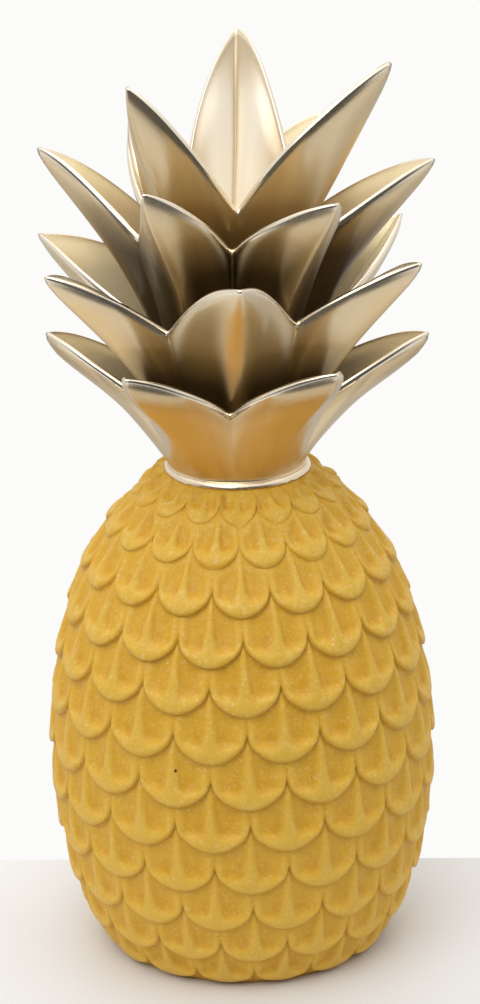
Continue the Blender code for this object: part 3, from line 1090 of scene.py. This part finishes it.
def table_paint():
    """Pale paint to look at, with painted shade darker towards the front and to the right, which
    fades to dark far in front for what the metal mirrors.
    """
    nodes = Nodes("floor")
    pale = (0.80, 0.80, 0.80, 1.0)
    dimmer = (0.78, 0.78, 0.78, 1.0)
    front = (0.70, 0.71, 0.72, 1.0)
    right = (0.60, 0.61, 0.63, 1.0)
    dark = (0.02, 0.018, 0.016, 1.0)
    far = nodes.range(nodes.axis("Y"), TABLE_FRONT - TABLE_FADE, TABLE_FRONT, 1.0, 0.0)
    seen = nodes.make("ShaderNodeLightPath").outputs["Is Camera Ray"]
    nodes.coat(pale, (
        (nodes.noise(14.0), dimmer),
        # Painted shade: darker towards the front and to the right
        (nodes.range(nodes.axis("Y"), 0.04, -0.1), front),
        (nodes.range(nodes.axis("X"), -0.02, 0.1, 0.0, 0.15), right),
        (nodes.times(far, nodes.math("SUBTRACT", 1.0, seen)), dark),
    ))
    nodes.shader.inputs["Roughness"].default_value = TABLE_ROUGHNESS
    return nodes.material


# Camera, light and ground

def camera():
    data = bpy.data.cameras.new("camera")
    data.sensor_width = SENSOR_MM
    data.lens = FOCAL_PIXELS * SENSOR_MM / IMAGE_HEIGHT
    data.shift_x = (IMAGE_WIDTH / 2.0 - AXIS_PIXEL) / IMAGE_HEIGHT
    data.clip_start = CLIP_START
    obj = bpy.data.objects.new("camera", data)
    bpy.context.scene.collection.objects.link(obj)
    pitch = Matrix.Rotation(math.pi / 2.0 - CAMERA_PITCH, 4, "X")
    turn = pitch @ Matrix.Rotation(CAMERA_ROLL, 4, "Z")
    obj.matrix_world = Matrix.Translation((0.0, -CAMERA_DISTANCE, CAMERA_HEIGHT)) @ turn
    bpy.context.scene.camera = obj


def soft_light(name, place, aim, size, power, colour, mirrored):
    data = bpy.data.lights.new(name, "AREA")
    data.shape = "SQUARE"
    data.size = size
    data.energy = power
    data.color = colour
    obj = bpy.data.objects.new(name, data)
    bpy.context.scene.collection.objects.link(obj)
    obj.location = place
    obj.rotation_euler = (Vector(aim) - Vector(place)).to_track_quat("-Z", "Y").to_euler()
    obj.visible_glossy = mirrored


def surroundings():
    """A white studio with a dark side in front and below, and plain white to look at."""
    world = bpy.data.worlds.new("studio")
    bpy.context.scene.world = world
    world.use_nodes = True
    tree = world.node_tree

    def ramp(value, span, ends):
        node = tree.nodes.new("ShaderNodeMapRange")
        node.interpolation_type = "SMOOTHSTEP"
        for key, number in zip(("From Min", "From Max", "To Min", "To Max"), span + ends):
            node.inputs[key].default_value = number
        tree.links.new(value, node.inputs["Value"])
        return node.outputs["Result"]

    def combine(operation, first, second):
        node = tree.nodes.new("ShaderNodeMath")
        node.operation = operation
        tree.links.new(first, node.inputs[0])
        tree.links.new(second, node.inputs[1])
        return node.outputs["Value"]

    place = tree.nodes.new("ShaderNodeTexCoord")
    split = tree.nodes.new("ShaderNodeSeparateXYZ")
    tree.links.new(place.outputs["Generated"], split.inputs["Vector"])
    depth = split.outputs["Y"]
    height = split.outputs["Z"]
    front = ramp(depth, DARK_IN_FRONT, (1.0, 0.0))
    dark = combine("MULTIPLY", front, ramp(height, DARK_LOW, (1.0, 0.0)))
    around = ramp(dark, (0.0, 1.0), (WORLD_LIGHT, WORLD_DARK))
    under = ramp(height, UNDER_RANGE, (WORLD_UNDER, WORLD_LIGHT))
    above = ramp(height, TOP_RANGE, (0.0, WORLD_TOP))
    light = combine("ADD", combine("MINIMUM", under, around), above)
    ray = tree.nodes.new("ShaderNodeLightPath")
    matt = ramp(ray.outputs["Is Diffuse Ray"], (0.0, 1.0), (1.0, WORLD_ON_MATT))
    choose = tree.nodes.new("ShaderNodeMix")
    choose.inputs["B"].default_value = BACKDROP
    tree.links.new(combine("MULTIPLY", light, matt), choose.inputs["A"])
    tree.links.new(ray.outputs["Is Camera Ray"], choose.inputs["Factor"])
    background = tree.nodes["Background"]
    tree.links.new(choose.outputs["Result"], background.inputs["Strength"])
    background.inputs["Color"].default_value = WORLD_COLOUR


def table():
    """A pale table top whose back edge lies just behind the object."""
    corners = (
        (-TABLE_REACH, -TABLE_REACH, 0.0),
        (TABLE_REACH, -TABLE_REACH, 0.0),
        (TABLE_REACH, TABLE_EDGE + TABLE_SLOPE * TABLE_REACH, 0.0),
        (-TABLE_REACH, TABLE_EDGE - TABLE_SLOPE * TABLE_REACH, 0.0),
    )
    mesh = bpy.data.meshes.new("floor")
    mesh.from_pydata(corners, [], [(0, 1, 2, 3)])
    mesh.materials.append(table_paint())
    obj = bpy.data.objects.new("floor", mesh)
    bpy.context.scene.collection.objects.link(obj)


bpy.context.scene.view_settings.view_transform = "Standard"
camera()
surroundings()
table()
for light in LIGHTS:
    soft_light(*light)

body = body_mesh()
body.data.materials.append(yellow_glaze())
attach(body, "root")
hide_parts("body")

crown = crown_mesh()
crown.data.materials.append(champagne_gold())
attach(crown, "root")
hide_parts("crown")
